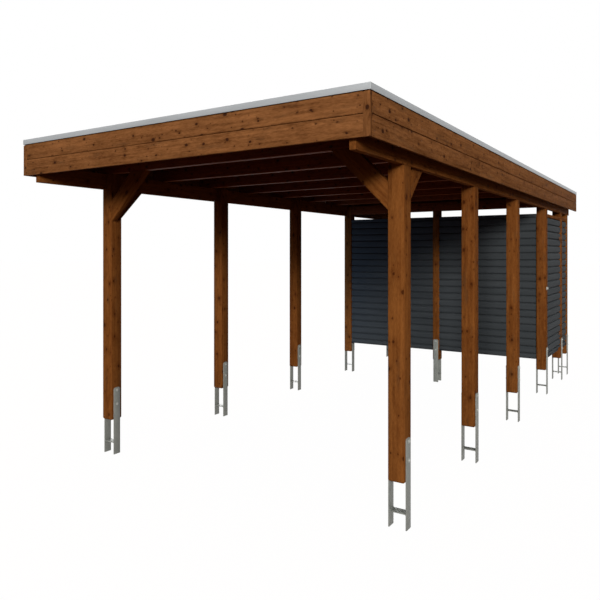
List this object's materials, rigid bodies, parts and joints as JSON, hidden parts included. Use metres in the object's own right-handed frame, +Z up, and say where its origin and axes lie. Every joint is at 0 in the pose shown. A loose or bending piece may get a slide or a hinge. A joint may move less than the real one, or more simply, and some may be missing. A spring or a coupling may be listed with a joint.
{
  "type": "carport with shed",
  "caption": "Flat-roofed timber carport on steel H anchors: open parking bay between two rows of posts, and a clad shed with a hinged side door under the rear bay.",
  "frame": {"origin": "middle of the roof's plan at ground level, where the anchors' legs stand", "axes": "+Z up, +Y from the drive-in end to the shed, +X to the side with the shed door"},
  "size_m": [3.14, 7.08, 2.737],
  "materials": {
    "stained_timber": "walnut-brown stained softwood with dark knots, satin",
    "slate_cladding": "slate-grey painted boards, satin",
    "edge_trim": "mill aluminium, satin",
    "galvanised_steel": "hot-dip galvanised, matt",
    "painted_steel": "satin paint, brown on the hinges and dark slate on the wall screws",
    "roofing_membrane": "black roofing sheet, matt"
  },
  "bodies": {
    "frame": {"post_front_left": "stained_timber", "post_second_left": "stained_timber", "post_third_left": "stained_timber", "post_shed_front_left": "stained_timber", "post_shed_rear_left": "stained_timber", "post_front_right": "stained_timber", "post_second_right": "stained_timber", "post_third_right": "stained_timber", "post_shed_front_right": "stained_timber", "post_shed_rear_right": "stained_timber", "post_shed_front_middle": "stained_timber", "post_shed_rear_middle": "stained_timber", "post_door": "stained_timber", "anchors_left_row": "galvanised_steel", "anchors_right_row": "galvanised_steel", "anchors_shed_middle": "galvanised_steel", "purlin_left": "stained_timber", "purlin_right": "stained_timber", "rafters": "stained_timber", "shed_header": "stained_timber", "braces_front_left": "stained_timber", "braces_front_right": "stained_timber", "fascia_front": "stained_timber", "fascia_left": "stained_timber", "fascia_right": "stained_timber", "fascia_rear": "stained_timber", "corner_battens": "stained_timber", "roof_trim_front": "edge_trim", "roof_trim_rear": "edge_trim", "roof_trim_left": "edge_trim", "roof_trim_right": "edge_trim", "roof_boarding": "stained_timber", "roof_membrane": "roofing_membrane", "front_wall_left": "slate_cladding", "front_wall_right": "slate_cladding", "rear_wall_left": "slate_cladding", "rear_wall_right": "slate_cladding", "left_wall": "slate_cladding", "right_wall": "slate_cladding", "wall_top_rails": "stained_timber", "door_hinge_pins": "painted_steel", "door_latch": "galvanised_steel"},
    "door": {"door_leaf": "slate_cladding", "door_hinge_straps": "painted_steel", "door_knob": "slate_cladding"}
  },
  "joints": [
    {"name": "door_hinge", "type": "hinge", "parent": "frame", "child": "door", "pos_m": [1.473, 2.849, 1.3515], "axis": [0, 0, 1], "range_deg": [0, 105]}
  ]
}
